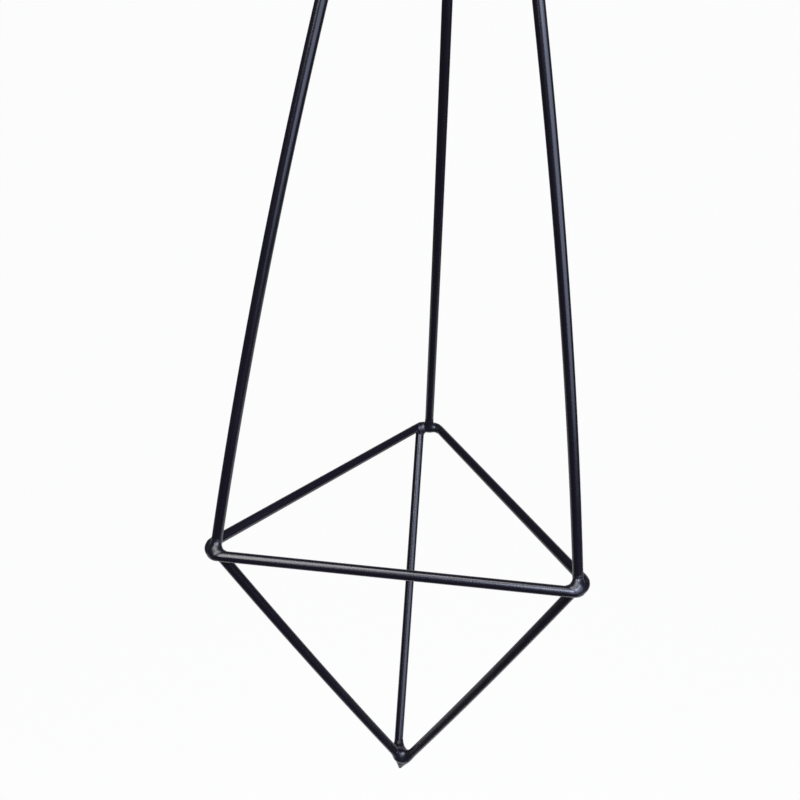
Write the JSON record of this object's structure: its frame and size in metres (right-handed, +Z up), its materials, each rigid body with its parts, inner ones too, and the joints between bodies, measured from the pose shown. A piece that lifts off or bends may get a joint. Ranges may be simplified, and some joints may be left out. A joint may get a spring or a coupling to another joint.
{
  "type": "air plant holder",
  "caption": "Hanging holder for an air plant: an open cage of black-coated round wire with a triangular ring, rods rising to a hanging eye and rods meeting at a point below.",
  "frame": {"origin": "middle of the hanging eye's hole, where a hook or cord passes through", "axes": "+Z up along the cage's upright axis, +X to the right along the ring's front side, -Y towards the viewer of the front"},
  "size_m": [0.0714, 0.063, 0.2422],
  "materials": {
    "wire": "black powder coat on steel wire, smooth satin to gloss",
    "weld_metal": "weld metal under the same black powder coat, rounded and slightly glossier"
  },
  "bodies": {
    "root": {"ring": "wire", "hanging_eye": "wire", "apex_weld": "weld_metal", "tip_weld": "weld_metal", "upper_rod_left": "wire", "upper_rod_right": "wire", "upper_rod_rear": "wire", "lower_rod_left": "wire", "lower_rod_right": "wire", "lower_rod_rear": "wire", "corner_weld_left": "weld_metal", "corner_weld_right": "weld_metal", "corner_weld_rear": "weld_metal"}
  },
  "joints": []
}
